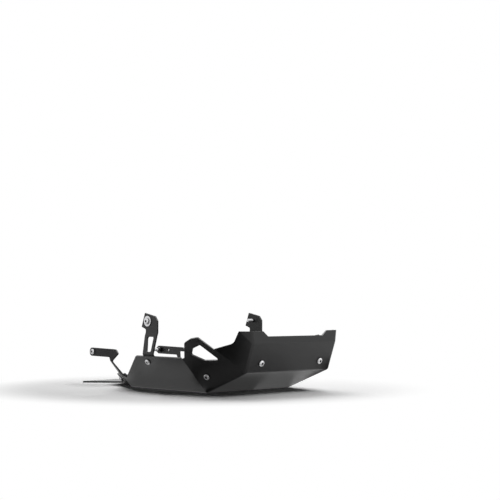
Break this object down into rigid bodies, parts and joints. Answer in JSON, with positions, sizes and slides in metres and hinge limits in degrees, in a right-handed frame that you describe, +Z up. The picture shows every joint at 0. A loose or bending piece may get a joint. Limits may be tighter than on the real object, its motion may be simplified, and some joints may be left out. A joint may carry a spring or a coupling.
{
  "type": "motorcycle skid plate",
  "caption": "Folded sheet skid plate with flared walls, windowed wings, notched nose and fishtail, on bolted brackets and arms, to shield a motorcycle's engine from below.",
  "frame": {"origin": "on the floor's underside plane, in the centre plane, halfway between nose and tail", "axes": "+X forward to the nose, +Y to the machine's left, +Z up from the floor"},
  "size_m": [0.6264, 0.3918, 0.1745],
  "materials": {
    "sheet_coat": "satin black powder coat on aluminium sheet",
    "bracket_coat": "satin black powder coat on steel",
    "bright_steel": "bright stainless steel, turned",
    "black_steel": "black oxide on steel"
  },
  "bodies": {
    "root": {"skid_plate": "sheet_coat", "tall_bracket_right": "bracket_coat", "tall_bracket_left": "bracket_coat", "rear_arm_right": "bracket_coat", "rear_arm_left": "bracket_coat", "nose_screw_right": "bright_steel", "nose_screw_left": "bright_steel", "wing_screw_right": "bright_steel", "wing_screw_left": "bright_steel", "wall_screw_right": "bright_steel", "wall_screw_left": "bright_steel", "foot_screw_right": "bright_steel", "foot_screw_left": "bright_steel", "tab_bolt_right": "bright_steel", "tab_bolt_left": "bright_steel", "tab_washer_right": "bright_steel", "tab_washer_left": "bright_steel", "arm_bolt_right": "bright_steel", "arm_bolt_left": "bright_steel", "wall_nut_right": "black_steel", "wall_nut_left": "black_steel", "foot_nut_right": "black_steel", "foot_nut_left": "black_steel", "arm_spacer_right": "black_steel", "arm_spacer_left": "black_steel"}
  },
  "joints": []
}
